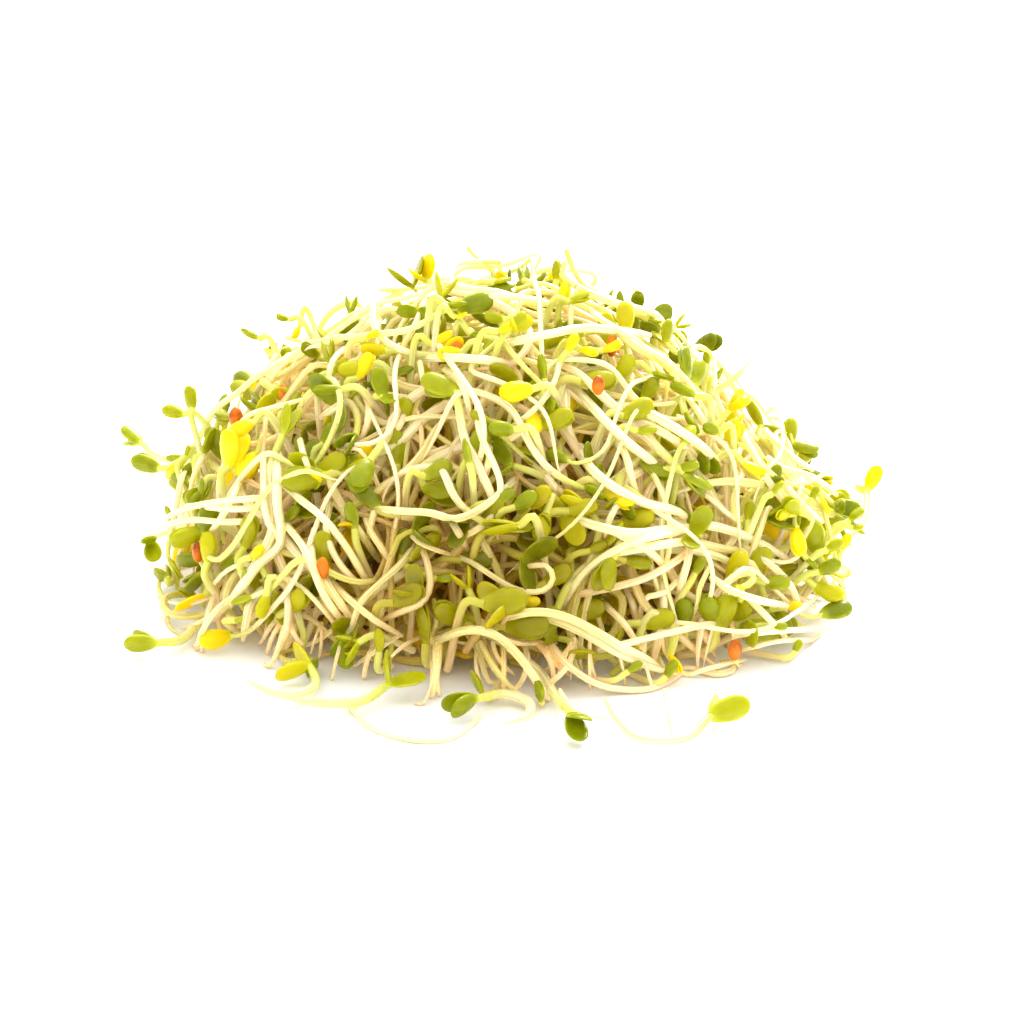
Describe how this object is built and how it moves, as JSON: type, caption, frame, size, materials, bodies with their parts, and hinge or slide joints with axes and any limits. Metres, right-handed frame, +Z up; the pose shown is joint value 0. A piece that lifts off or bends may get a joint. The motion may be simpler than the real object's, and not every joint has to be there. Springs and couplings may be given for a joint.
{
  "type": "pile of alfalfa sprouts",
  "caption": "Loose heap of fresh alfalfa sprouts: pale curling stems with pairs of small oval green and yellow seed leaves, brown seed coats, and stray sprouts round its foot.",
  "frame": {"origin": "middle of the heap's flat base, on the surface that it lies on", "axes": "+Z up, -Y the front that faces the viewer in the picture, +X to the viewer's right"},
  "size_m": [0.1181, 0.1116, 0.0451],
  "materials": {
    "stem_pale": "moist, smooth and slightly translucent, cream white",
    "heart_green": "moist, satin, olive green",
    "leaf_green": "moist, satin, yellow-green",
    "leaf_yellow": "moist, satin, bright yellow",
    "seed_coat": "papery, orange-brown"
  },
  "bodies": {
    "root": {"arc_leaves": "leaf_green", "arc_stem": "stem_pale", "back_fall_leaves": "leaf_green", "back_fall_stem": "stem_pale", "bean_leaves": "leaf_green", "bean_stem": "stem_pale", "bow_leaves": "leaf_yellow", "bow_stem": "stem_pale", "brow_left_leaves": "leaf_green", "brow_left_stem": "stem_pale", "brow_middle_leaves": "leaf_green", "brow_middle_stem": "stem_pale", "brow_right_leaves": "leaf_green", "brow_right_stem": "stem_pale", "crown_leaves": "leaf_yellow", "crown_stem": "stem_pale", "face_left_leaves": "leaf_green", "face_left_stem": "stem_pale", "face_low_leaves": "leaf_green", "face_low_stem": "stem_pale", "face_right_leaves": "leaf_green", "face_right_stem": "stem_pale", "fall_left_leaves": "leaf_green", "fall_left_stem": "stem_pale", "flank_left_leaves": "leaf_green", "flank_left_stem": "stem_pale", "heart_with_leaves": "heart_green", "net_of_stems": "stem_pale", "ribbon_leaves": "leaf_yellow", "ribbon_stem": "stem_pale", "seed_coat_left": "seed_coat", "seed_coat_middle": "seed_coat", "shoulder_left_leaves": "leaf_yellow", "shoulder_left_stem": "stem_pale", "shoulder_right_leaves": "leaf_green", "shoulder_right_stem": "stem_pale", "table_arc_leaves": "leaf_green", "table_arc_stem": "stem_pale", "table_back_leaves": "leaf_green", "table_back_left_leaves": "leaf_green", "table_back_left_stem": "stem_pale", "table_back_stem": "stem_pale", "table_far_right_leaves": "leaf_yellow", "table_far_right_stem": "stem_pale", "table_front_leaves": "leaf_green", "table_front_stem": "stem_pale", "table_left_end_leaves": "leaf_green", "table_left_end_stem": "stem_pale", "table_left_leaves": "leaf_green", "table_left_stem": "stem_pale", "table_pair_leaves": "leaf_green", "table_pair_stem": "stem_pale", "table_right_leaves": "leaf_green", "table_right_stem": "stem_pale", "table_yellow_leaves": "leaf_yellow", "table_yellow_stem": "stem_pale", "top_hook_leaves": "leaf_green", "top_hook_stem": "stem_pale", "top_right_leaves": "leaf_green", "top_right_stem": "stem_pale"}
  },
  "joints": []
}
